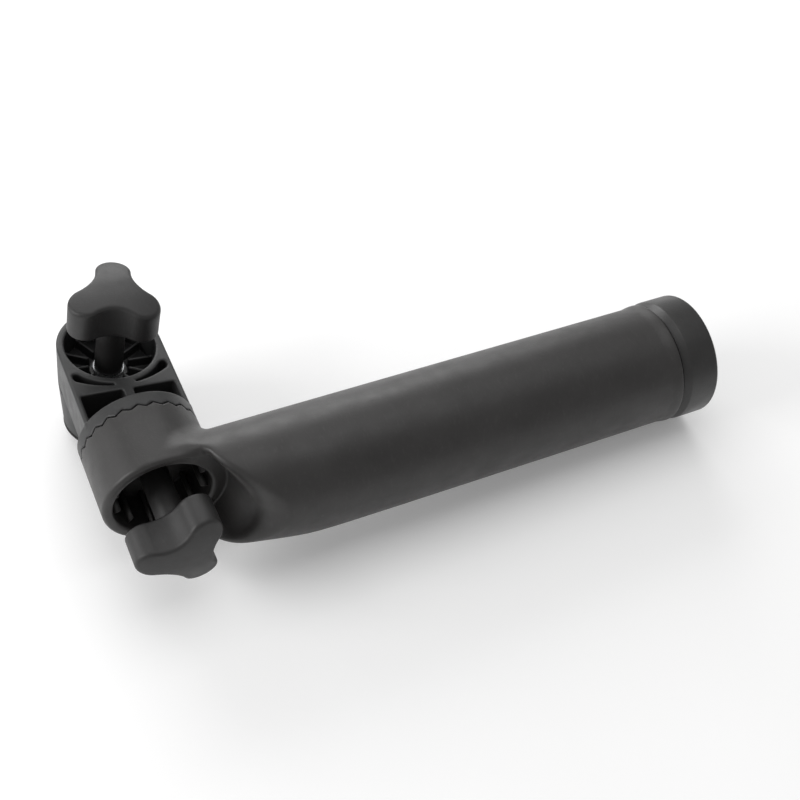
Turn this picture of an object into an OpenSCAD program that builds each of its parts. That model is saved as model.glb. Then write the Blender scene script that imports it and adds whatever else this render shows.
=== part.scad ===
// Two-axis rod holder for a boat: a toothed swivel base, a bracket arm and a rod tube
// on a toothed tilt hub, each clamped by a three-lobed knob on an M6 bolt.
// Frame: +Z is the swivel axis, the origin is the middle of the deck face,
// the tilt axis runs along Y and the rod tube points along +X, raised by tube_rise.

/* [Layout] */
// Height of the tilt axis above the deck
tilt_axis_z = 34; // [32:0.5:40]
// Distance from the swivel axis to the tilt teeth
arm_reach = 45; // [44:0.5:55]
// Height of the bracket's flat top above the deck
arm_top_z = 45.5; // [44:0.5:50]
// Height of the swivel teeth above the deck
swivel_teeth_z = 24; // [22:0.5:25]
// Angle of the rod tube above level, as stored
tube_rise = 8; // [0:1:15]

/* [Teeth] */
// Number of teeth in each toothed ring
tooth_count = 24; // [12:12:36]
// Full depth of a tooth at the outside of its ring
tooth_depth = 1.6; // [1:0.1:2]
// Outer radius of the tilt toothed rings
hub_r = 24; // [23:0.5:25]

/* [Bracket] */
// Half width of the bracket at its top
arm_half_w = 21.5; // [21:0.1:23]
// Half width of the bracket at its bottom
arm_foot_half_w = 20.2; // [19.5:0.1:21]
// Radius of the pocket around the swivel knob
pocket_r = 18.4; // [17:0.1:18.6]
// Height of the pocket's floor above the deck
pocket_floor_z = 30.5; // [30:0.5:32]
// Thickness of the toothed disc
disc_t = 6.3; // [6:0.1:8]

/* [Base] */
// Radius of the base at the deck
base_foot_r = 17.2; // [17:0.1:19]
// Radius of the base at its teeth
base_top_r = 20; // [19.8:0.1:20.2]
// Thickness of the deck gasket
gasket_t = 1.5; // [1:0.5:2]
// Diameter of the circle of deck screws
screw_circle_d = 24; // [23.6:0.1:24.4]
// Radius of a deck screw hole
screw_hole_r = 2.2; // [2:0.1:2.4]

/* [Hub and rod tube] */
// Distance from the tilt teeth to the hub's mouth
hub_len = 28.8; // [27:0.2:32]
// Radius of the hub's mouth
hub_mouth_r = 19.6; // [19:0.1:20]
// Distance from the tilt teeth to the rod tube's axis
tube_offset = 34.1; // [33:0.1:36]
// Outer radius of the rod tube
tube_r = 25.7; // [25.4:0.1:26.2]
// Radius of the rod tube's bore
bore_r = 22.4; // [21.5:0.1:22.6]
// Distance from the tilt axis to the bottom of the bore
bore_start_x = 42; // [42:0.5:46]
// Distance from the tilt axis to the mouth collar
collar_x = 220.5; // [160:0.5:300]
// Length of the mouth collar
collar_len = 17; // [14:0.5:24]
// Outer radius of the mouth collar
collar_r = 26.6; // [26.4:0.1:28]
// Radius of the hollow that clears the tilt knob
scoop_r = 20.9; // [20.6:0.1:22]
// Radius of the shallower dish beside it, on its upper side
dish_r = 23.6; // [23:0.1:25]

/* [Knobs] */
// Distance from a knob's axis to the middle of each lobe
lobe_reach = 12.6; // [12:0.1:14]
// Radius of each lobe's tip
lobe_r = 7; // [5.5:0.1:7.2]
// Distance from a knob's axis to the bottom of the hollow between two lobes
valley_r = 10.1; // [9.6:0.1:11.6]
// Thickness of a knob's head at its middle
knob_t = 17; // [14:0.5:18]
// Gap between the swivel knob's head and the bracket's top
swivel_knob_stand = 14.7; // [10:0.1:15]
// Gap between the tilt knob's head and the hub's mouth
tilt_knob_stand = 13; // [10:0.1:15]
// Radius of a knob's stem
stem_r = 5.8; // [5.6:0.1:6.2]
// Turn of the swivel knob as stored, about its axis
swivel_knob_phase = 75.5; // [0:0.5:119.5]
// Turn of the tilt knob as stored, about its axis
tilt_knob_phase = 61; // [0:0.5:119.5]

/* [Hidden] */

$fn = 96;
eps = 0.01;
face_gap = 0.05;          // clearance between two faces that meet across a joint

half_depth = tooth_depth / 2;
tooth_clear = 0.1;        // extra gap between two meshed toothed rings
tooth_land = half_depth + tooth_clear / 2;
tilt_ring_in = 17.5;
tilt_ring_out = hub_r - 0.1;
swivel_ring_in = 16.6;
swivel_ring_out = 19.9;

bolt_r = 3;               // M6, drawn as a plain cylinder
bolt_hole_r = 3.3;
head_flats = 10;
head_r = head_flats / 2 / cos(30);
head_t = 4;
head_clear = 0.1;

spring_pocket_r = 6.4;
spring_r = 5;             // radius of the coil's centre line
wire_r = 0.6;
spring_turns = 4;
clip_t = 0.8;
bush_r = 5;
bush_fit = 0.04;          // radial clearance of a bush in its hole, and of a bolt in its bush
bush_flange_r = 6.9;
bush_flange_t = 1.4;
flange_pocket_r = 7.2;
slip_t = 1;
slip_r = 7.6;
washer_t = 1.5;
washer_r = 6.4;
washer_hole_r = 3.2;
insert_r = 4.6;
insert_len = 14;
thread_fit = 0.03;
crown_h = 2;              // the raised middle of a knob's face
crown_r = 9.9;
crown_top_r = 3;

base_spring_z = 12;
screw_head_r = 4.2;
screw_floor_z = 6;        // floor of the wells that hold the deck screws' heads
swivel_head_z = 3;
rim_t = 2.8;              // wall between the pocket and the two slots
slot_in_r = pocket_r + rim_t;
slot_sweep_r = 34.9;      // outer edge of the slots, flatter than their inner edge
slot_sweep_y = 12.8;
slot_end_y = -12.8;
spine_half = 2;
side_wall = 2.2;
well_back_y = -24.8;      // back edge of the two wells behind the disc
well_depth = 14;
slot_depth = 12;
slot_gap = 4;             // half the width of the web between the two slots
side_step = 0.05;
gusset_w = 26;

tilt_floor_s = 10;        // hub floor, measured from the tilt teeth
tilt_spring_s = 5;        // depth of each spring pocket from the tilt teeth
tilt_head_s = -10.5;      // back of the tilt bolt's head
boss_r = 8;
boss_s = -12;

pad_t = 3;
pad_r = 20.5;
spigot_r = 24.5;
collar_lip = 2.5;
collar_fit = 0.05;
drain_r = 3;
rib_count = 12;
rib_t = 1.2;
rib_in_r = 16.6;
dish_x = 2;               // the dish's middle, measured from the tilt axis
dish_y = 3;
scoop_flat_x = 12;        // where the closed end of the rod tube stands beside the knob
lean_x = 50;              // the tube narrows from here to its closed end, on its lower front
lean = 10.5;              // how much narrower it would be at the tilt axis
lean_angle = 35.6;        // direction of that side, below level

// ---- helpers ----

function arc(c, r, from, to, n) =
    [for (i = [0:n]) let (a = from + (to - from) * i / n) c + r * [cos(a), sin(a)]];

function rotated(p, a) = [p.x * cos(a) - p.y * sin(a), p.x * sin(a) + p.y * cos(a)];

// Ring whose upper face carries radial teeth about z = 0. Every tooth edge points at the
// axis, so two such rings, one turned over and turned by half a tooth, fit face to face.
module tooth_ring(r_in, r_out, back, n = tooth_count) {
    steps = 2 * n;
    top = function (r, k) (k % 2 == 0 ? half_depth : -half_depth) * r / r_out;
    at = function (r, k, z) [r * cos(k * 180 / n), r * sin(k * 180 / n), z];
    points = [for (k = [0:steps - 1])
        each [at(r_in, k, -back), at(r_in, k, top(r_in, k)),
              at(r_out, k, top(r_out, k)), at(r_out, k, -back)]];
    faces = [for (k = [0:steps - 1]) let (a = 4 * k, b = 4 * ((k + 1) % steps))
        each [[a + 1, b + 1, b + 2, a + 2], [a, a + 3, b + 3, b],
              [a + 2, b + 2, b + 3, a + 3], [b + 1, a + 1, a, b]]];
    polyhedron(points, faces);
}

// Round bar with flat ends, from z0 to z1.
module bar(r, z0, z1) {
    translate([0, 0, z0]) cylinder(r = r, h = z1 - z0);
}

module ring(r_in, r_out, z0, z1) {
    difference() {
        bar(r_out, z0, z1);
        bar(r_in, z0 - 1, z1 + 1);
    }
}

module hexagon(z0, z1, grow = 0) {
    translate([0, 0, z0]) cylinder(r = head_r + grow, h = z1 - z0, $fn = 6);
}

module bolt(head_z, end_z) {
    hexagon(head_z, head_z + head_t);
    bar(bolt_r, head_z + head_t - eps, end_z);
}

// Helical spring standing on z0, swept along its turns with closed ends.
module spring(z0, z1) {
    sides = 6;
    steps = spring_turns * 16;
    rise = z1 - z0 - 2 * wire_r;
    points = [for (i = [0:steps]) let (a = 360 * spring_turns * i / steps)
        for (j = [0:sides - 1]) let (b = 360 * j / sides, r = spring_r + wire_r * cos(b))
            [r * cos(a), r * sin(a), z0 + wire_r + rise * i / steps + wire_r * sin(b)]];
    walls = [for (i = [0:steps - 1], j = [0:sides - 1])
        let (a = i * sides + j, b = i * sides + (j + 1) % sides)
            [a, b, b + sides, a + sides]];
    ends = [[for (j = [sides - 1:-1:0]) j], [for (j = [0:sides - 1]) steps * sides + j]];
    polyhedron(points, concat(walls, ends));
}

module bush(flange_z, end_z) {
    difference() {
        union() {
            bar(bush_flange_r, flange_z, flange_z + bush_flange_t);
            bar(bush_r, flange_z, end_z);
        }
        bar(bolt_r + bush_fit, flange_z - 1, end_z + 1);
    }
}

// Outline of a knob's head: three round lobes, joined by hollow arcs that touch them.
module knob_outline() {
    inset = lobe_r - valley_r;
    hollow_reach = (lobe_reach^2 - inset^2) / (lobe_reach + 2 * inset);
    hollow_r = hollow_reach - valley_r;
    hollow = hollow_reach * [cos(60), sin(60)];
    toward = hollow - [lobe_reach, 0];
    turn = atan2(toward.y, toward.x);
    third = concat(arc([lobe_reach, 0], lobe_r, -turn, turn, 24),
                   [for (i = [1:11]) arc(hollow, hollow_r, turn + 180, 300 - turn, 12)[i]]);
    polygon([for (a = [0:120:240]) for (p = third) rotated(p, a)]);
}

// Knob on its stem. The stem stands on z0 and the head's back face is at head_z.
module knob(z0, head_z, end_z) {
    difference() {
        union() {
            bar(stem_r, z0, head_z + 1);
            translate([0, 0, head_z]) {
                linear_extrude(knob_t - crown_h) knob_outline();
                translate([0, 0, knob_t - crown_h - 1])
                    cylinder(r1 = crown_r, r2 = crown_top_r, h = crown_h + 1);
            }
        }
        bar(bolt_hole_r, z0 - 1, end_z + 4);
        bar(insert_r, end_z - insert_len, end_z);
    }
}

module knob_insert(end_z) {
    ring(bolt_r + thread_fit, insert_r, end_z - insert_len, end_z);
}

// Frame of the tilt stack: local +Z runs out along the tilt axis from the tilt teeth,
// local +X stays along row +X.
module on_tilt() {
    translate([0, -arm_reach, tilt_axis_z]) rotate([90, 0, 0]) children();
}

// Same frame turned with the rod tube.
module on_tube() {
    on_tilt() rotate(tube_rise) children();
}

// Frame of the rod tube: local +Z runs from the tilt axis to the tube's mouth.
module on_bore() {
    on_tube() translate([0, 0, tube_offset]) rotate([0, 90, 0]) children();
}

// ---- swivel base ----

module base() color([0.11, 0.11, 0.12]) {
    difference() {
        union() {
            translate([0, 0, gasket_t])
                cylinder(r1 = base_foot_r, r2 = base_top_r,
                         h = swivel_teeth_z - tooth_land - gasket_t);
            translate([0, 0, swivel_teeth_z])
                tooth_ring(swivel_ring_in, swivel_ring_out, 3);
        }
        bar(bolt_hole_r, 0, swivel_teeth_z + 1);
        bar(spring_pocket_r, base_spring_z, swivel_teeth_z + 1);
        hexagon(gasket_t - 1, swivel_head_z + head_t + head_clear, head_clear);
        for (a = [45:90:315]) rotate(a) translate([screw_circle_d / 2, 0]) {
            bar(screw_hole_r, 0, swivel_teeth_z + 1);
            bar(screw_head_r, screw_floor_z, swivel_teeth_z + 2);
        }
    }
}

module base_gasket() color([0.05, 0.05, 0.05]) {
    difference() {
        bar(base_foot_r, 0, gasket_t);
        for (a = [45:90:315]) rotate(a) translate([screw_circle_d / 2, 0])
            bar(screw_hole_r, -1, gasket_t + 1);
    }
}

knob_rest_z = pocket_floor_z + slip_t + washer_t + face_gap;
swivel_head_back = arm_top_z + swivel_knob_stand;
swivel_end_z = swivel_head_back + 7;

module swivel_bolt() color([0.72, 0.72, 0.74]) bolt(swivel_head_z, swivel_end_z);

module swivel_bolt_clip() color([0.6, 0.6, 0.62])
    ring(bolt_r, spring_pocket_r - 0.4, base_spring_z, base_spring_z + clip_t);

swivel_flange_z = swivel_teeth_z + tooth_land + face_gap;

module swivel_spring() color([0.75, 0.75, 0.77])
    spring(base_spring_z + clip_t, swivel_flange_z);

module swivel_bush() color([0.85, 0.83, 0.78]) bush(swivel_flange_z, pocket_floor_z);

// ---- bracket ----

disc_back_y = -(arm_reach - disc_t);

// The arm's flat sides stand in a little, so that they cross its round back cleanly.
module arm_body() {
    z0 = swivel_teeth_z + tooth_land;
    foot = arm_foot_half_w - side_step;
    top = arm_half_w - side_step;
    translate([0, 0, z0])
        cylinder(r1 = arm_foot_half_w, r2 = arm_half_w, h = arm_top_z - z0);
    rotate([90, 0, 0]) linear_extrude(1 - disc_back_y)
        polygon([[-foot, z0], [foot, z0], [top, arm_top_z], [-top, arm_top_z]]);
}

// Web that carries the disc's lower half, clear of the swivel base.
module arm_gusset() {
    back_y = -(base_top_r + 2.5);
    low_z = tilt_axis_z - hub_r + 4;
    translate([gusset_w / 2, 0, 0]) rotate([90, 0, -90]) linear_extrude(gusset_w)
        polygon([[-back_y, swivel_teeth_z + 2], [-disc_back_y + 1, swivel_teeth_z + 2],
                 [-disc_back_y + 1, low_z], [-disc_back_y - 4, low_z]]);
}

module arc_slot(side) {
    low_z = arm_top_z - slot_depth;
    intersection() {
        difference() {
            translate([0, slot_sweep_y, low_z]) cylinder(r = slot_sweep_r, h = slot_depth + 1);
            bar(slot_in_r, low_z - 1, arm_top_z + 2);
        }
        translate([side > 0 ? slot_gap : -arm_half_w + side_wall, -slot_sweep_r, 0])
            cube([arm_half_w - side_wall - slot_gap, slot_sweep_r + slot_end_y, arm_top_z + 2]);
    }
}

module disc_well(side) {
    inner = spine_half;
    outer = arm_half_w - side_wall;
    translate([side > 0 ? inner : -outer, disc_back_y, arm_top_z - well_depth])
        cube([outer - inner, well_back_y - disc_back_y, well_depth + hub_r]);
}

module bracket() color([0.1, 0.1, 0.11]) {
    difference() {
        union() {
            difference() {
                union() {
                    arm_body();
                    arm_gusset();
                }
                bar(pocket_r, pocket_floor_z, arm_top_z + 1);
                for (side = [-1, 1]) {
                    arc_slot(side);
                    disc_well(side);
                }
            }
            translate([0, 0, swivel_teeth_z + tooth_clear]) mirror([0, 0, 1])
                rotate(180 / tooth_count) tooth_ring(swivel_ring_in, swivel_ring_out, 3);
            on_tilt() {
                bar(hub_r, -disc_t, -tooth_land);
                tooth_ring(tilt_ring_in, tilt_ring_out, 3);
                bar(boss_r, boss_s, -disc_t + 1);
            }
        }
        bar(bush_r + bush_fit, swivel_teeth_z, pocket_floor_z + 1);
        bar(flange_pocket_r, swivel_teeth_z - 2, swivel_flange_z + bush_flange_t + face_gap);
        on_tilt() {
            bar(bolt_r, tilt_head_s, 1);
            bar(spring_pocket_r, -tilt_spring_s, 1);
            hexagon(tilt_head_s, tilt_head_s + head_t);
        }
    }
}

module swivel_slip_washer() color([0.9, 0.9, 0.88])
    ring(washer_hole_r, slip_r, pocket_floor_z, pocket_floor_z + slip_t);

module swivel_washer() color([0.75, 0.75, 0.77])
    ring(washer_hole_r, washer_r, pocket_floor_z + slip_t + face_gap / 2,
         pocket_floor_z + slip_t + washer_t + face_gap / 2);

module swivel_knob() color([0.13, 0.13, 0.14]) rotate(swivel_knob_phase)
    knob(knob_rest_z, swivel_head_back, swivel_end_z);

module swivel_knob_insert() color([0.78, 0.62, 0.3]) knob_insert(swivel_end_z);

// ---- tilt stack ----

tilt_head_back = hub_len + tilt_knob_stand;
tilt_end_s = tilt_head_back + 7;
tilt_flange_s = tilt_spring_s + face_gap;

module tilt_bolt() color([0.72, 0.72, 0.74]) on_tilt() bolt(tilt_head_s, tilt_end_s);

module tilt_bolt_clip() color([0.6, 0.6, 0.62]) on_tilt()
    ring(bolt_r, spring_pocket_r - 0.4, -tilt_spring_s, -tilt_spring_s + clip_t);

module tilt_spring() color([0.75, 0.75, 0.77]) on_tilt()
    spring(-tilt_spring_s + clip_t, tilt_flange_s);

module tilt_bush() color([0.85, 0.83, 0.78]) on_tilt() bush(tilt_flange_s, tilt_floor_s);

// ---- rod tube ----

module hub_ribs() {
    for (i = [0:rib_count - 1]) rotate(i * 360 / rib_count + 15)
        translate([rib_in_r, -rib_t / 2, tilt_floor_s - 1])
            cube([hub_mouth_r + 0.4 - rib_in_r, rib_t, hub_len - tilt_floor_s - 3]);
}

module rod_tube() color([0.1, 0.1, 0.11]) {
    flare_x = collar_x - 6;
    difference() {
        union() {
            on_tube() bar(hub_r, tooth_land, hub_len);
            on_bore() {
                hull() {
                    bar(tube_r, lean_x, lean_x + 1);
                    translate(lean / 2 * [cos(lean_angle), sin(lean_angle), 0])
                        bar(tube_r - lean / 2, 0, eps);
                }
                bar(tube_r, lean_x, collar_x - 0.8);
                translate([0, 0, flare_x])
                    cylinder(r1 = tube_r, r2 = collar_r - 0.3, h = collar_x - 0.8 - flare_x);
                bar(spigot_r, collar_x - 1, collar_x + collar_len - collar_lip);
            }
        }
        on_tube() {
            bar(scoop_r, hub_len, hub_len + 40);
            translate([dish_x, dish_y, 0]) bar(dish_r, hub_len, hub_len + 40);
            translate([-2 * hub_r, -2 * hub_r, hub_len])
                cube([2 * hub_r + scoop_flat_x, 4 * hub_r, 40]);
            bar(hub_mouth_r, tilt_floor_s, hub_len + 1);
            bar(bush_r + bush_fit, 0, tilt_floor_s + 1);
            bar(flange_pocket_r, 0, tilt_flange_s + bush_flange_t + face_gap);
        }
        on_bore() {
            bar(bore_r, bore_start_x + pad_t, collar_x + collar_len + 1);
            bar(pad_r, bore_start_x, bore_start_x + pad_t + 1);
            translate([0, 0, bore_start_x + pad_t + drain_r + 1]) rotate([90, 0, 0])
                bar(drain_r, 0, tube_r + 2);
        }
    }
    on_tube() {
        translate([0, 0, tooth_clear]) mirror([0, 0, 1]) rotate(180 / tooth_count - tube_rise)
            tooth_ring(tilt_ring_in, tilt_ring_out, 3);
        hub_ribs();
    }
}

module butt_pad() color([0.06, 0.06, 0.06]) on_bore()
    bar(pad_r - 0.1, bore_start_x, bore_start_x + pad_t);

module mouth_collar() color([0.09, 0.09, 0.1]) on_bore() {
    end_x = collar_x + collar_len;
    difference() {
        bar(collar_r, collar_x, end_x);
        bar(spigot_r + collar_fit, collar_x - 1, end_x - collar_lip);
        bar(bore_r, collar_x - 1, end_x + 1);
    }
}

module tilt_slip_washer() color([0.9, 0.9, 0.88]) on_tube()
    ring(washer_hole_r, slip_r, tilt_floor_s, tilt_floor_s + slip_t);

module tilt_washer() color([0.75, 0.75, 0.77]) on_tilt()
    ring(washer_hole_r, washer_r, tilt_floor_s + slip_t + face_gap / 2,
         tilt_floor_s + slip_t + washer_t + face_gap / 2);

module tilt_knob() color([0.13, 0.13, 0.14]) on_tilt() rotate(tilt_knob_phase)
    knob(tilt_floor_s + slip_t + washer_t + face_gap, tilt_head_back, tilt_end_s);

module tilt_knob_insert() color([0.78, 0.62, 0.3]) on_tilt() knob_insert(tilt_end_s);

base();
base_gasket();
swivel_bolt();
swivel_bolt_clip();
swivel_spring();
swivel_bush();
bracket();
swivel_slip_washer();
swivel_washer();
swivel_knob();
swivel_knob_insert();
tilt_bolt();
tilt_bolt_clip();
tilt_spring();
tilt_bush();
rod_tube();
butt_pad();
mouth_collar();
tilt_slip_washer();
tilt_washer();
tilt_knob();
tilt_knob_insert();
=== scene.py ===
"""Looks of the two-axis rod holder: rounded, moulded surfaces built as distance fields around the
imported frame. Lengths below are in millimetres until a mesh is placed."""

import math

import bmesh
import bpy
import numpy as np
import openvdb
from mathutils import Matrix, Vector


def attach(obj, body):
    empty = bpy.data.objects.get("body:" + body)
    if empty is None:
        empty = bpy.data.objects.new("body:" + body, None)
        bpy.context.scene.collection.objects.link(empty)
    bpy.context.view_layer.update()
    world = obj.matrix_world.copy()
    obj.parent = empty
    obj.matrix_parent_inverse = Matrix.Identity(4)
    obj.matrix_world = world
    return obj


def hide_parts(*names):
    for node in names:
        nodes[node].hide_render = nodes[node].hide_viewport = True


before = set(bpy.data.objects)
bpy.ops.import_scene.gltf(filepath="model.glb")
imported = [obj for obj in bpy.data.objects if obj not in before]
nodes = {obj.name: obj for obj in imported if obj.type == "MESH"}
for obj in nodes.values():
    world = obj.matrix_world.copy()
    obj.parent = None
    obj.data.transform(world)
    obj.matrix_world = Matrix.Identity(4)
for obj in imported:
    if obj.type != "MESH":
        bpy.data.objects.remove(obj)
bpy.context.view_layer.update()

MM = 0.001

# ---- sizes, the same as part.scad's ----

TILT_Z = 34.0                                # height of the tilt axis above the deck
REACH = 45.0                                 # from the swivel axis to the tilt teeth
OFFSET = 34.1                                # from the tilt teeth to the middle of the tube
RISE = math.radians(8)                       # slope of the tube

TEETH = 24
HALF_TOOTH = 0.8
TOOTH_CLEAR = 0.1                            # gap between two meshed rings of teeth
TOOTH_LAND = 0.85                            # the flat inside a ring, below its mid height
SWIVEL_TEETH = 24.0                          # mid height of the swivel teeth
SWIVEL_RING_IN, SWIVEL_RING_OUT = 16.6, 19.9
TILT_RING_IN, TILT_RING_OUT = 17.5, 23.9

BOLT_R = 3.0
BOLT_HOLE_R = 3.3
SPRING_POCKET_R = 6.4
BUSH_HOLE_R = 5.04
FLANGE_POCKET_R = 7.2
STACK = 2.55                                 # slip washer, washer and gap under a knob's stem

GASKET_T = 1.5
BASE_FOOT_R, BASE_TOP_R, BASE_H = 17.2, 20.0, 21.65
BASE_SPRING_Z = 12
SCREW_CIRCLE_R = 12
SCREW_HOLE_R, SCREW_HEAD_R, SCREW_FLOOR = 2.2, 4.2, 6

ARM_FOOT, ARM_TOP, ARM_H = 24.85, 45.5, 20.65
ARM_FOOT_R, ARM_TOP_R = 20.2, 21.5
WEB_HALF, WEB_LOW, WEB_HIGH = 13, 14, 26     # the gusset under the arm
WEB_TOE, WEB_LEAN, WEB_COS = 22.5, 0.95, 0.72
POCKET_R, POCKET_FLOOR = 18.4, 30.5
INNER_SIDE = 19.3                            # inside face of the arm's two side walls
SLOT_IN_R, SLOT_FLOOR, SLOT_GAP = 21.2, 33.5, 4.0
SLOT_SWEEP_R, SLOT_SWEEP_Y, SLOT_END_Y = 34.9, 12.8, 12.8
WELL_BACK_Y, WELL_FLOOR, SPINE_HALF = 24.8, 31.5, 2.0
DISC_T = 6.3
DISC_JOIN = 2                                # how far the arm runs into the disc
BOSS_R, BOSS_BACK, BOSS_JOIN = 8, 12, 3
FLANGE_POCKET_TOP = 26.35
TILT_SPRING_S = 5
RING_ROOT, TEETH_CUT_R = 28, 20.1            # where the arm's lower teeth are rooted and trimmed
SWIVEL_HOLE_TOP, TILT_HOLE_BACK = 32, 7

HUB_R, HUB_LEN, HUB_FLOOR = 24.0, 28.8, 10.0
HUB_FLANGE_S = 6.5
HUB_FACE_T, HUB_HOLE_TOP = 4, 12
MOUTH_R = 19.6
TUBE_R = 25.7
TUBE_END = 219.7
TUBE_BACK = 3                                # the tube stays this far from the tilt teeth
BORE_R, BORE_START = 22.4, 42.0
PAD_R, PAD_T = 20.5, 3
SPIGOT_R, SPIGOT_FROM, SPIGOT_TO = 24.5, 215, 235
DRAIN_U, DRAIN_R = 49, 3
COLLAR_X, COLLAR_LEN, COLLAR_R = 220.5, 17.0, 26.6

KNOB_T = 17.0
SWIVEL_STAND, TILT_STAND = 14.7, 13.0
SWIVEL_PHASE, TILT_PHASE = math.radians(75.5), math.radians(61)
STEM_R, STEM_JOIN = 5.8, 3
LOBE_REACH, LOBE_R, VALLEY_R = 12.6, 7.0, 10.1
INSERT_R, INSERT_HALF, THREAD_LEN = 4.6, 7, 11

# ---- sizes of the looks alone ----

SEAM = 0.2                                   # extra gap that lets a toothed seam show
TOOTH_SLOPE = 0.89                           # a tooth's height over its distance
POCKET_RIB_IN, POCKET_RIB_OUT, POCKET_RIB_HALF = 8.2, 18.8, 0.6
POCKET_RIB_LOW, POCKET_RIB_HIGH = 29.5, 35.0
POCKET_RIB_PITCH = math.radians(30)
HUB_RIBS, HUB_RIB_PHASE = 12, math.radians(15)
HUB_RIB_IN, HUB_RIB_OUT, HUB_RIB_T = 16.6, 20.0, 1.3
HUB_RIB_LOW, HUB_RIB_HIGH, HUB_RIB_BEVEL = 9.0, 24.8, 0.35
FLARE, FLARE_FROM, FLARE_SPAN = 0.6, 213.5, 5.5
LEAN, LEAN_FROM, LEAN_SOFT = 0.18, 50.0, 8   # the tube narrows towards its closed end
LEAN_S = math.cos(math.radians(35.6))
LEAN_V = math.sin(math.radians(35.6))
SCOOP_R, SCOOP_FLAT, SCOOP_LIP = 20.9, 12, 0.8
DISH_R, DISH_U, DISH_V, DISH_WIDEN = 23.6, 2.0, 3.0, 0.25
UPPER_FROM, UPPER_SPAN = -16, 24             # where the dish turns from its lower to its upper form
SOFT_R, SOFT_MORE, SOFT_TOP, SOFT_SPAN = 4.0, 6.0, 30, 20
HUB_REGION = 60                              # the dish and scoop end before this far along
KNOB_DOME = 58.0
FAR_IN, FAR_OUT = -5, 50                     # values of a cut where it has no say

# ---- places ----

ROW = Matrix.Identity(4)
ON_TILT = Matrix.Translation((0, -REACH, TILT_Z)) @ Matrix.Rotation(math.pi / 2, 4, "X")
ON_TUBE = ON_TILT @ Matrix.Rotation(RISE, 4, "Z")
ON_BORE = ON_TUBE @ Matrix.Translation((0, 0, OFFSET)) @ Matrix.Rotation(math.pi / 2, 4, "Y")


# ---- distance fields ----

def joined(a, b, r):
    """Union of two fields with an inside fillet of radius r."""
    return np.maximum(r, np.minimum(a, b)) - np.hypot(np.maximum(r - a, 0), np.maximum(r - b, 0))


def common(a, b, r):
    """Intersection of two fields with a rounded edge of radius r."""
    return np.minimum(-r, np.maximum(a, b)) + np.hypot(np.maximum(r + a, 0), np.maximum(r + b, 0))


def without(a, b, r):
    """Field a less field b, its new edge rounded to radius r."""
    return common(a, -b, r)


def cut(a, b):
    """Field a less field b, with a sharp edge."""
    return np.maximum(a, -b)


def between(t, low, high):
    return np.maximum(low - t, t - high)


def smooth_step(t):
    t = np.clip(t, 0, 1)
    return t * t * (3 - 2 * t)


def tooth_wave(x, y, r_out):
    """Height of a ring of teeth, highest where the angle is a multiple of the tooth angle."""
    turn = np.arctan2(y, x) / (2 * math.pi) * TEETH
    wave = np.abs(turn - np.floor(turn) - 0.5) * 4 - 1
    return wave * HALF_TOOTH * np.hypot(x, y) / r_out


VALLEY_STEP = LOBE_R - VALLEY_R
HOLLOW_REACH = (LOBE_REACH**2 - VALLEY_STEP**2) / (LOBE_REACH + 2 * VALLEY_STEP)
HOLLOW_R = HOLLOW_REACH - VALLEY_R
HOLLOW_X, HOLLOW_Y = HOLLOW_REACH * math.cos(math.pi / 3), HOLLOW_REACH * math.sin(math.pi / 3)


def three_lobes(x, y):
    """Plan of a knob's head: three round lobes joined by hollow arcs, one lobe along +X."""
    third = 2 * math.pi / 3
    angle = np.arctan2(y, x)
    angle = np.abs(angle - third * np.round(angle / third))
    r = np.hypot(x, y)
    px, py = r * np.cos(angle), r * np.sin(angle)
    lobe = np.hypot(px - LOBE_REACH, py) - LOBE_R
    hollow = HOLLOW_R - np.hypot(px - HOLLOW_X, py - HOLLOW_Y)
    side = (HOLLOW_X - LOBE_REACH) * py - HOLLOW_Y * (px - LOBE_REACH)
    return np.where(side > 0, hollow, lobe)


# ---- shapes ----

def base_field(x, y, z):
    r = np.hypot(x, y)
    wall = BASE_FOOT_R + (z - GASKET_T) * (BASE_TOP_R - BASE_FOOT_R) / BASE_H
    shell = common(r - wall, GASKET_T - z, r=0.5)
    top = np.where(r > SWIVEL_RING_IN, tooth_wave(x, y, SWIVEL_RING_OUT) - SEAM, -TOOTH_LAND)
    body = np.maximum(shell, (z - SWIVEL_TEETH - top) * TOOTH_SLOPE)
    body = cut(body, r - BOLT_HOLE_R)
    body = without(body, np.maximum(r - SPRING_POCKET_R, BASE_SPRING_Z - z), r=0.3)
    for k in range(4):
        a = math.pi / 4 + k * math.pi / 2
        hole = np.hypot(x - SCREW_CIRCLE_R * math.cos(a), y - SCREW_CIRCLE_R * math.sin(a))
        body = cut(body, hole - SCREW_HOLE_R)
        body = without(body, np.maximum(hole - SCREW_HEAD_R, SCREW_FLOOR - z), r=0.3)
    return body


def arm_field(x, y, z, back):
    """The bracket's arm, from its round end to the disc, with the gusset under it."""
    wall = ARM_FOOT_R + (z - ARM_FOOT) * (ARM_TOP_R - ARM_FOOT_R) / ARM_H
    plan = np.hypot(x, np.maximum(y, 0)) - wall
    arm = common(plan, between(z, ARM_FOOT, ARM_TOP), r=0.8)
    arm = np.maximum(arm, -back - DISC_JOIN)
    web = np.maximum(between(x, -WEB_HALF, WEB_HALF), between(z, WEB_LOW, WEB_HIGH))
    web = np.maximum(web, (y + WEB_TOE + (WEB_HIGH - z) * WEB_LEAN) * WEB_COS)
    web = np.maximum(web, -back - DISC_JOIN)
    return joined(arm, web, r=1.5)


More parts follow.
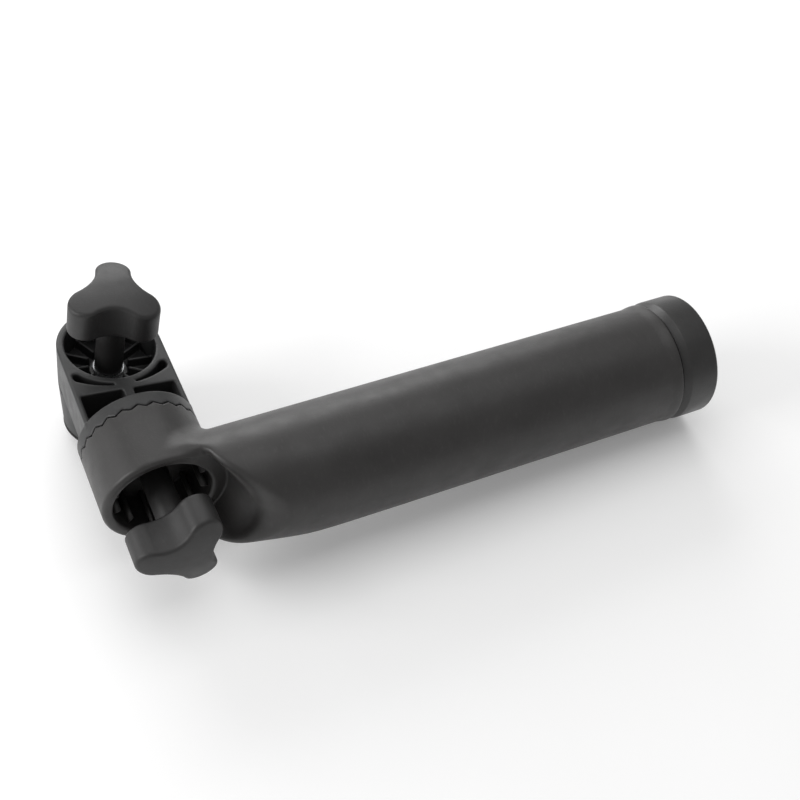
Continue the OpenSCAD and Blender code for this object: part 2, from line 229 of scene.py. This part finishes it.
def pocket_ribs(x, y, z, r):
    """Radial ribs on the floor of the swivel knob's pocket."""
    half = POCKET_RIB_PITCH / 2
    off_rib = (np.arctan2(y, x) + half) % POCKET_RIB_PITCH - half
    rib = common(between(r, POCKET_RIB_IN, POCKET_RIB_OUT),
                 np.abs(r * np.sin(off_rib)) - POCKET_RIB_HALF, r=0.2)
    return common(rib, between(z, POCKET_RIB_LOW, POCKET_RIB_HIGH), r=0.3)


def arm_slots(x, y, z, r):
    """The two curved slots beside the pocket."""
    slot = common(SLOT_IN_R - r, np.hypot(x, y - SLOT_SWEEP_Y) - SLOT_SWEEP_R, r=0.6)
    ends = common(between(np.abs(x), SLOT_GAP, INNER_SIDE), y + SLOT_END_Y, r=1.2)
    return np.maximum(common(slot, ends, r=1.0), SLOT_FLOOR - z)


def arm_wells(x, y, z, back):
    """The two wells between the slots and the disc."""
    well = common(between(np.abs(x), SPINE_HALF, INNER_SIDE), y + WELL_BACK_Y, r=1.0)
    return np.maximum(np.maximum(well, -back), WELL_FLOOR - z)


def bracket_field(x, y, z):
    r = np.hypot(x, y)
    back = y + (REACH - DISC_T)
    s = -(y + REACH)
    disc_r = np.hypot(x, z - TILT_Z)
    arm = arm_field(x, y, z, back)
    arm = without(arm, np.maximum(r - POCKET_R, POCKET_FLOOR - z), r=0.6)
    arm = joined(arm, pocket_ribs(x, y, z, r), r=0.5)
    arm = without(arm, arm_slots(x, y, z, r), r=0.5)
    arm = without(arm, arm_wells(x, y, z, back), r=0.5)
    arm = joined(arm, common(disc_r - HUB_R, -DISC_T - s, r=0.5), r=0.6)
    boss = common(disc_r - BOSS_R, -BOSS_BACK - s, r=0.5)
    arm = joined(arm, np.maximum(boss, s + BOSS_JOIN), r=0.6)
    tilt_wave = tooth_wave(x, z - TILT_Z, TILT_RING_OUT)
    front = np.where(disc_r > TILT_RING_IN, tilt_wave - SEAM, -TOOTH_LAND)
    arm = np.maximum(arm, (s - front) * TOOTH_SLOPE)
    swivel_wave = SWIVEL_TEETH + TOOTH_CLEAR + tooth_wave(x, y, SWIVEL_RING_OUT) + SEAM
    lower = np.where(r > SWIVEL_RING_IN, swivel_wave, ARM_FOOT)
    arm = np.minimum(arm, np.maximum(between(r, SWIVEL_RING_IN, SWIVEL_RING_OUT), z - RING_ROOT))
    arm = np.maximum(arm, np.where(r < TEETH_CUT_R, (lower - z) * TOOTH_SLOPE, FAR_IN))
    arm = np.maximum(arm, np.where(z < SWIVEL_HOLE_TOP, BUSH_HOLE_R - r, FAR_IN))
    arm = cut(arm, np.maximum(r - FLANGE_POCKET_R, z - FLANGE_POCKET_TOP))
    arm = np.maximum(arm, np.where(s > -TILT_HOLE_BACK, BOLT_R - disc_r, FAR_IN))
    return cut(arm, np.maximum(disc_r - SPRING_POCKET_R, -TILT_SPRING_S - s))


def tube_field(u, v, s):
    """The tube and its hub: u runs along the tube, v up and s out along the tilt axis."""
    hub_r = np.hypot(u, v)
    radial = np.hypot(v, s - OFFSET)
    by_hub = u < HUB_REGION

    flare = FLARE * smooth_step((u - FLARE_FROM) / FLARE_SPAN)
    near = LEAN_FROM - u
    lean = LEAN / 2 * (near + np.sqrt(near**2 + LEAN_SOFT**2)) / 2
    outer = np.hypot(v - LEAN_V * lean, s - OFFSET + LEAN_S * lean) + lean
    tube = common(outer - TUBE_R - flare, u - TUBE_END, r=0.5)
    tube = common(tube, -u, r=12.0)
    hub = common(hub_r - HUB_R, s - HUB_LEN, r=1.8)

    upper = smooth_step((v - UPPER_FROM) / UPPER_SPAN)
    dish = np.hypot(u - DISH_U, v - DISH_V) - DISH_R - DISH_WIDEN * upper * (s - HUB_LEN)
    scoop = joined(joined(hub_r - SCOOP_R, dish, r=3.0), u - SCOOP_FLAT, r=3.0)
    hollow = common(scoop, HUB_LEN - SCOOP_LIP - s, r=3.0)
    soft = SOFT_R + SOFT_MORE * upper * smooth_step((SOFT_TOP - v) / SOFT_SPAN)
    tube = without(tube, np.where(by_hub, hollow, FAR_OUT), soft)
    whole = joined(hub, np.maximum(tube, TUBE_BACK - s), r=4.5)
    whole = without(whole, np.where(by_hub, np.maximum(scoop, HUB_LEN - s), FAR_OUT), r=0.1)

    spigot = np.maximum(radial - SPIGOT_R, between(u, SPIGOT_FROM, SPIGOT_TO))
    whole = np.minimum(whole, spigot)
    whole = without(whole, np.maximum(hub_r - MOUTH_R, HUB_FLOOR - s), r=1.8)
    whole = cut(whole, np.maximum(radial - BORE_R, BORE_START + PAD_T - u))
    whole = cut(whole, np.maximum(radial - PAD_R, BORE_START - u))
    drain = np.maximum(np.hypot(u - DRAIN_U, s - OFFSET) - DRAIN_R, v)
    whole = without(whole, drain, r=0.4)

    cos, sin = math.cos(RISE), math.sin(RISE)
    wave = tooth_wave(u * cos - v * sin, u * sin + v * cos, TILT_RING_OUT)
    face = np.where(hub_r > TILT_RING_IN, wave + TOOTH_CLEAR + SEAM, TOOTH_LAND)
    whole = np.minimum(whole, np.maximum(between(hub_r, TILT_RING_IN, HUB_R), s - HUB_FACE_T))
    whole = np.maximum(whole, np.where(s < HUB_FACE_T, (face - s) * TOOTH_SLOPE, FAR_IN))
    whole = np.maximum(whole, np.where(s < HUB_HOLE_TOP, BUSH_HOLE_R - hub_r, FAR_IN))
    return cut(whole, np.maximum(hub_r - FLANGE_POCKET_R, s - HUB_FLANGE_S))


def knob_field(foot, head):
    """A knob whose stem stands on foot and whose head starts at head, along local z."""
    def field(x, y, z):
        r = np.hypot(x, y)
        top = head + KNOB_T - KNOB_DOME
        dome = np.sqrt(r**2 + (z - top) ** 2) - KNOB_DOME
        cap = common(common(three_lobes(x, y), dome, r=1.3), head - z, r=0.9)
        stem = np.maximum(r - STEM_R, between(z, foot, head + STEM_JOIN))
        whole = joined(cap, stem, r=1.6)
        whole = cut(whole, np.maximum(r - BOLT_HOLE_R, z - head - THREAD_LEN))
        insert = between(z, head - INSERT_HALF, head + INSERT_HALF)
        return cut(whole, np.maximum(r - INSERT_R, insert))
    return field


# ---- meshes ----

GRADIENT_STEP = 0.02
SNAP_PASSES = 3
SNAP_LIMIT = 0.35         # the farthest a point moves in one pass
SLOPE_FLOOR = 0.3


def onto_surface(spots, field):
    """Moves points near field = 0 onto it, along the field's slope."""
    for _ in range(SNAP_PASSES):
        slope = np.stack([(field(*(spots + o).T) - field(*(spots - o).T)) / (2 * GRADIENT_STEP)
                          for o in np.eye(3) * GRADIENT_STEP], 1)
        steep = np.maximum((slope**2).sum(1), SLOPE_FLOOR)
        move = field(*spots.T)[:, None] * slope / steep[:, None]
        spots -= np.clip(move, -SNAP_LIMIT, SNAP_LIMIT)


def mesh_of(name, field, axes, place):
    """A closed mesh of field(x, y, z) = 0 from its values on a grid, in the row frame."""
    xs, ys, zs = axes
    values = field(xs[:, None, None], ys[None, :, None], zs[None, None, :])
    values = np.broadcast_to(values, (len(xs), len(ys), len(zs)))
    values = np.ascontiguousarray(values, np.float32)
    grid = openvdb.FloatGrid(float(values.max()) + 1)
    grid.copyFromArray(values)
    points, triangles, quads = grid.convertToPolygons(isovalue=0.0, adaptivity=0.0)
    spots = np.stack([np.interp(points[:, k], np.arange(len(a)), a)
                      for k, a in enumerate(axes)], 1)
    onto_surface(spots, field)
    return piece(name, spots.tolist(), quads.tolist() + triangles.tolist(), place)


def piece(name, verts, faces, place):
    """An object from a mesh in millimetres at its local place, facing out, in metres."""
    mesh = bpy.data.meshes.new(name)
    mesh.from_pydata(verts, [], faces)
    clean = bmesh.new()
    clean.from_mesh(mesh)
    if clean.calc_volume(signed=True) < 0:
        bmesh.ops.reverse_faces(clean, faces=clean.faces)
    clean.to_mesh(mesh)
    clean.free()
    return added(name, mesh, place)


def added(name, mesh, place):
    mesh.transform(Matrix.Scale(MM, 4) @ place)
    for face in mesh.polygons:
        face.use_smooth = True
    return linked(bpy.data.objects.new(name, mesh))


def linked(obj):
    bpy.context.scene.collection.objects.link(obj)
    return obj


def spaced(low, high, step):
    return np.linspace(low, high, int(math.ceil((high - low) / step)) + 1)


def lathe(name, profile, place, steps=144):
    """A ring turned about local z from a closed profile of (radius, z) points."""
    verts, faces = [], []
    n = len(profile)
    for k in range(steps):
        a = 2 * math.pi * k / steps
        verts += [(r * math.cos(a), r * math.sin(a), z) for r, z in profile]
        near, far = k * n, (k + 1) % steps * n
        faces += [(near + i, far + i, far + (i + 1) % n, near + (i + 1) % n) for i in range(n)]
    return piece(name, verts, faces, place)


def rounded(corners, steps=6):
    """A closed profile from (radius, z, fillet) corners, with close points beside each fillet."""
    points = []
    n = len(corners)
    for i, (r, z, fillet) in enumerate(corners):
        here = Vector((r, z))
        to_before = (Vector(corners[i - 1][:2]) - here).normalized()
        to_after = (Vector(corners[(i + 1) % n][:2]) - here).normalized()
        half = to_before.angle(to_after) / 2
        reach = fillet / math.tan(half)
        start, end = here + to_before * reach, here + to_after * reach
        centre = here + (to_before + to_after).normalized() * (fillet / math.sin(half))
        for k in range(steps + 1):
            spot = (start - centre).lerp(end - centre, k / steps)
            points.append(tuple(centre + spot.normalized() * fillet))
    return points


def ribs(name, place):
    """Short ribs standing on the hub's wall inside its mouth."""
    bm = bmesh.new()
    middle = ((HUB_RIB_IN + HUB_RIB_OUT) / 2, 0, (HUB_RIB_LOW + HUB_RIB_HIGH) / 2)
    size = (HUB_RIB_OUT - HUB_RIB_IN, HUB_RIB_T, HUB_RIB_HIGH - HUB_RIB_LOW, 1)
    shape = Matrix.Translation(middle) @ Matrix.Diagonal(size)
    for i in range(HUB_RIBS):
        turn = Matrix.Rotation(HUB_RIB_PHASE + i * 2 * math.pi / HUB_RIBS, 4, "Z")
        box = bmesh.ops.create_cube(bm, size=1)["verts"]
        bmesh.ops.transform(bm, matrix=turn @ shape, verts=box)
    bmesh.ops.bevel(bm, geom=bm.edges[:], offset=HUB_RIB_BEVEL, segments=2, affect="EDGES")
    mesh = bpy.data.meshes.new(name)
    bm.to_mesh(mesh)
    bm.free()
    return added(name, mesh, place)


# ---- materials ----

def scaled(colour, gain):
    return tuple(c * gain for c in colour)


class Build:
    """Short calls for a material's nodes."""

    def __init__(self, name):
        self.material = bpy.data.materials.new(name)
        self.material.use_nodes = True
        self.tree = self.material.node_tree
        self.shader = self.tree.nodes["Principled BSDF"]
        self.coords = self.add("TexCoord").outputs["Object"]

    def add(self, kind):
        return self.tree.nodes.new("ShaderNode" + kind)

    def feed(self, socket, value):
        """Links an output to a socket, or gives the socket a colour or a number."""
        if hasattr(value, "links"):
            self.tree.links.new(value, socket)
        elif isinstance(value, tuple):
            socket.default_value = (*value, 1)
        else:
            socket.default_value = value

    def noise(self, scale, detail=3.0, rough=0.5, stretch=None):
        where = self.coords
        if stretch:
            shift = self.add("Mapping")
            shift.inputs["Scale"].default_value = stretch
            self.feed(shift.inputs["Vector"], where)
            where = shift.outputs["Vector"]
        node = self.add("TexNoise")
        self.feed(node.inputs["Scale"], scale)
        self.feed(node.inputs["Detail"], detail)
        self.feed(node.inputs["Roughness"], rough)
        self.feed(node.inputs["Vector"], where)
        return node.outputs["Fac"]

    def cells(self, scale):
        node = self.add("TexVoronoi")
        node.feature = "SMOOTH_F1"
        self.feed(node.inputs["Scale"], scale)
        self.feed(node.inputs["Vector"], self.coords)
        return node.outputs["Distance"]

    def ramp(self, value, low, high):
        """Colours from two (position, colour) stops."""
        node = self.add("ValToRGB")
        self.feed(node.inputs["Fac"], value)
        for mark, (at, colour) in zip(node.color_ramp.elements, (low, high)):
            mark.position = at
            mark.color = (*colour, 1)
        return node.outputs["Color"]

    def spread(self, value, source, target):
        """Maps the range source to the range target."""
        node = self.add("MapRange")
        for socket, number in zip(("From Min", "From Max", "To Min", "To Max"),
                                  (*source, *target)):
            self.feed(node.inputs[socket], number)
        self.feed(node.inputs["Value"], value)
        return node.outputs["Result"]

    def maths(self, op, a, b):
        node = self.add("Math")
        node.operation = op
        self.feed(node.inputs[0], a)
        self.feed(node.inputs[1], b)
        return node.outputs["Value"]

    def tinted(self, base, other, share):
        node = self.add("Mix")
        node.data_type = "RGBA"
        self.feed(node.inputs["Factor"], share)
        self.feed(node.inputs[6], base)
        self.feed(node.inputs[7], other)
        return node.outputs[2]

    def edges(self, source):
        """Rises from 0 to 1 along outside edges, the mask for a painted edge highlight."""
        return self.spread(self.add("NewGeometry").outputs["Pointiness"], source, (0, 1))

    def bump(self, height, distance, strength, under=None):
        node = self.add("Bump")
        self.feed(node.inputs["Strength"], strength)
        self.feed(node.inputs["Distance"], distance)
        self.feed(node.inputs["Height"], height)
        if under is not None:
            self.feed(node.inputs["Normal"], under)
        return node.outputs["Normal"]

    def set(self, **sockets):
        for name, value in sockets.items():
            self.feed(self.shader.inputs[name.replace("_", " ")], value)
        return self.material


def moulded(name, dark, light, rough):
    """Glass-filled nylon: a fine spark-eroded grain, faint flow marks, and a painted highlight with
    lower roughness along the edges.
    """
    b = Build(name)
    mottle = b.ramp(b.noise(60, detail=4, rough=0.6), (0.3, dark), (0.7, light))
    fibres = b.noise(900, detail=2, rough=0.6, stretch=(1, 0.35, 0.35))
    fibres = b.spread(fibres, (0.55, 0.8), (0, 0.35))
    colour = b.tinted(mottle, scaled(light, 1.7), fibres)
    # Painted highlight: outside edges get a lighter colour, and a little less roughness.
    painted_edge_highlight = b.edges((0.53, 0.62))
    colour = b.tinted(colour, scaled(light, 1.5), b.maths("MULTIPLY", painted_edge_highlight, 0.5))
    patch = b.spread(b.noise(140), (0.3, 0.7), (rough - 0.05, rough + 0.06))
    patch = b.maths("SUBTRACT", patch, b.maths("MULTIPLY", painted_edge_highlight, 0.08))
    texture = b.bump(b.noise(2600, rough=0.6), distance=0.00006, strength=0.6)
    texture = b.bump(b.cells(1500), distance=0.000048, strength=0.4, under=texture)
    texture = b.bump(b.noise(90, detail=2), distance=0.0002, strength=0.15, under=texture)
    return b.set(Base_Color=colour, Roughness=patch, Normal=texture, Specular_IOR_Level=0.5)


def rubber(name):
    b = Build(name)
    dusty = b.ramp(b.noise(160, detail=5, rough=0.6),
                   (0.35, (0.018, 0.018, 0.018)), (0.75, (0.034, 0.033, 0.032)))
    return b.set(Base_Color=dusty, Specular_IOR_Level=0.3,
                 Roughness=b.spread(b.noise(500), (0.3, 0.7), (0.72, 0.88)),
                 Normal=b.bump(b.noise(2200), distance=0.00005, strength=0.5))


def steel(name, tint, rough, stretch):
    b = Build(name)
    lines = b.noise(1500, rough=0.6, stretch=stretch)
    return b.set(Base_Color=b.ramp(lines, (0.3, scaled(tint, 0.85)), (0.7, tint)), Metallic=1.0,
                 Normal=b.bump(lines, distance=0.00002, strength=0.5),
                 Roughness=b.spread(lines, (0.3, 0.7), (rough - 0.06, rough + 0.08)))


def brass(name):
    b = Build(name)
    marks = b.noise(700, rough=0.6)
    colour = b.ramp(marks, (0.3, (0.5, 0.34, 0.12)), (0.7, (0.74, 0.54, 0.24)))
    return b.set(Base_Color=colour, Metallic=1.0,
                 Normal=b.bump(b.cells(1400), distance=0.00008, strength=0.6),
                 Roughness=b.spread(marks, (0.3, 0.7), (0.3, 0.45)))


def acetal(name):
    b = Build(name)
    colour = b.ramp(b.noise(220), (0.3, (0.66, 0.64, 0.58)), (0.7, (0.76, 0.74, 0.69)))
    return b.set(Base_Color=colour, Subsurface_Weight=0.08,
                 Roughness=b.spread(b.noise(400), (0.3, 0.7), (0.32, 0.45)),
                 Normal=b.bump(b.noise(1800, detail=2), distance=0.00002, strength=0.4))


base_nylon = moulded("base_nylon", (0.014, 0.0145, 0.0155), (0.022, 0.0225, 0.0235), 0.5)
bracket_nylon = moulded("bracket_nylon", (0.0145, 0.0146, 0.0148), (0.0215, 0.0217, 0.0220),
                        0.46)
tube_nylon = moulded("tube_nylon", (0.0185, 0.0172, 0.0166), (0.0255, 0.0240, 0.0234), 0.44)
collar_nylon = moulded("collar_nylon", (0.0150, 0.0145, 0.0142), (0.0215, 0.0208, 0.0205), 0.40)
knob_nylon = moulded("knob_nylon", (0.0135, 0.0128, 0.0128), (0.0195, 0.0188, 0.0188), 0.5)
slip_nylon = moulded("slip_nylon", (0.040, 0.040, 0.040), (0.060, 0.060, 0.060), 0.4)
gasket_rubber = rubber("gasket_rubber")
pad_rubber = rubber("pad_rubber")
stainless = steel("stainless", (0.56, 0.57, 0.58), 0.3, (1, 1, 0.2))
spring_steel = steel("spring_steel", (0.5, 0.5, 0.52), 0.34, (1, 1, 1))
insert_brass = brass("insert_brass")
bush_acetal = acetal("bush_acetal")

for node, material in (
    ("base_gasket", gasket_rubber), ("butt_pad", pad_rubber),
    ("swivel_bolt", stainless), ("tilt_bolt", stainless),
    ("swivel_washer", stainless), ("tilt_washer", stainless),
    ("swivel_bolt_clip", spring_steel), ("tilt_bolt_clip", spring_steel),
    ("swivel_spring", spring_steel), ("tilt_spring", spring_steel),
    ("swivel_bush", bush_acetal), ("tilt_bush", bush_acetal),
    ("swivel_slip_washer", slip_nylon), ("tilt_slip_washer", slip_nylon),
    ("swivel_knob_insert", insert_brass), ("tilt_knob_insert", insert_brass),
):
    slots = nodes[node].data.materials
    slots.clear()
    slots.append(material)


def fitted(obj, material, body, node=None):
    """Gives a piece its material and body, and hides the CAD node it stands for."""
    obj.data.materials.append(material)
    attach(obj, body)
    if node:
        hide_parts(node)


# ---- pieces ----

FINE = 0.5            # grid cells
TUBE_FINE = FINE * 1.1
ALONG = 2.4                                  # cells along the straight run of the tube

base = mesh_of("base_shell", base_field,
               (spaced(-21, 21, FINE), spaced(-21, 21, FINE), spaced(0.8, 26, FINE)), ROW)
fitted(base, base_nylon, "base", "base")

bracket = mesh_of("bracket_shell", bracket_field,
                  (spaced(-25, 25, FINE), spaced(-47, 23, FINE), spaced(8, 60, FINE)), ROW)
fitted(bracket, bracket_nylon, "bracket", "bracket")

along = np.concatenate([spaced(-26, 66, TUBE_FINE)[:-1], spaced(66, 210, ALONG)[:-1],
                        spaced(210, 237, FINE)])
tube = mesh_of("tube_shell", tube_field,
               (along, spaced(-28, 28, TUBE_FINE), spaced(-2, 62, TUBE_FINE)), ON_TUBE)
fitted(tube, tube_nylon, "rod_tube", "rod_tube")

fitted(ribs("hub_ribs", ON_TUBE), tube_nylon, "rod_tube")

collar_end = COLLAR_X + COLLAR_LEN
collar_lip = collar_end - 2.4
collar = lathe("collar_ring", rounded([
    (25.0, COLLAR_X, 0.3), (COLLAR_R, COLLAR_X + 3.2, 1.6), (COLLAR_R, collar_end, 1.5),
    (BORE_R, collar_end, 0.9), (BORE_R, collar_lip, 0.1), (24.56, collar_lip, 0.1),
    (24.56, COLLAR_X, 0.2)]), ON_BORE)
fitted(collar, collar_nylon, "rod_tube", "mouth_collar")


def knob(name, foot, head, place):
    """A knob's shell; its body and its CAD node have the knob's own name."""
    axes = spaced(-21, 21, FINE), spaced(-21, 21, FINE), spaced(foot - 1, head + KNOB_T + 1, FINE)
    shell = mesh_of(name + "_shell", knob_field(foot, head), axes, place)
    fitted(shell, knob_nylon, name, name)


knob("swivel_knob", POCKET_FLOOR + STACK, ARM_TOP + SWIVEL_STAND,
     Matrix.Rotation(SWIVEL_PHASE, 4, "Z"))
knob("tilt_knob", HUB_FLOOR + STACK, HUB_LEN + TILT_STAND,
     ON_TILT @ Matrix.Rotation(TILT_PHASE, 4, "Z"))

# ---- floor, light and camera ----

# The loose object lies on the edge of its base and on its collar, so the floor slopes under it.
COLLAR_LOW = Vector((239.0, -79.1, 40.5))
FOOT_EDGE = Vector((17.2, 0.0, 0.0))
FLOOR_HALF, FLOOR_GAP = 4, 0.0002            # metres

scene = bpy.context.scene
slope = math.atan2(COLLAR_LOW.z - FOOT_EDGE.z, COLLAR_LOW.x - FOOT_EDGE.x)
floor_mesh = bpy.data.meshes.new("floor")
floor_mesh.from_pydata([(x * FLOOR_HALF, y * FLOOR_HALF, 0)
                        for x, y in ((-1, -1), (1, -1), (1, 1), (-1, 1))], [], [(0, 1, 2, 3)])
floor = linked(bpy.data.objects.new("floor", floor_mesh))
floor.matrix_world = (Matrix.Translation(FOOT_EDGE * MM) @ Matrix.Rotation(-slope, 4, "Y")
                      @ Matrix.Translation((0, 0, -FLOOR_GAP)))
paper = Build("paper")
paper_tone = paper.ramp(paper.noise(8, detail=2),
                        (0.3, (0.90, 0.90, 0.90)), (0.7, (0.92, 0.92, 0.92)))
floor_mesh.materials.append(paper.set(Base_Color=paper_tone, Roughness=0.9, Specular_IOR_Level=0.2,
                                      Emission_Color=(1, 1, 1), Emission_Strength=0.12))

world = bpy.data.worlds.new("studio")
scene.world = world
world.use_nodes = True
sky = world.node_tree.nodes["Background"].inputs
sky["Color"].default_value = (1, 1, 1, 1)
sky["Strength"].default_value = 0.42

LIT = Vector((0.1, -0.05, 0.03))             # every softbox faces this spot


def softbox(name, spot, size, power):
    light = bpy.data.lights.new(name, "AREA")
    light.shape = "RECTANGLE"
    light.size, light.size_y = size
    light.energy = power
    obj = linked(bpy.data.objects.new(name, light))
    obj.location = spot
    obj.rotation_euler = (LIT - Vector(spot)).to_track_quat("-Z", "Y").to_euler()


softbox("key", (0.05, 1.15, 0.66), (1.3, 0.7), 10.5)
softbox("left_fill", (-0.95, 0.10, 0.40), (0.6, 0.5), 6)
softbox("overhead", (0.10, 0.05, 1.30), (1.0, 1.0), 4)

CAMERA_SPOT = Vector((-123.3, -346.1, 416.4))
CAMERA_LOOK = Vector((0.4414, 0.5509, -0.7082))
CAMERA_UP = Vector((0.1747, 0.7215, 0.6701))

scene.view_settings.view_transform = "Standard"
camera_data = bpy.data.cameras.new("camera")
camera_data.lens = 55.62
camera_data.sensor_width = 36
camera_data.clip_start = 0.01
camera = linked(bpy.data.objects.new("camera", camera_data))
look = CAMERA_LOOK.normalized()
right = look.cross(CAMERA_UP).normalized()
turn = Matrix((right, right.cross(look), -look)).transposed()
camera.matrix_world = Matrix.Translation(CAMERA_SPOT * MM) @ turn.to_4x4()
scene.camera = camera
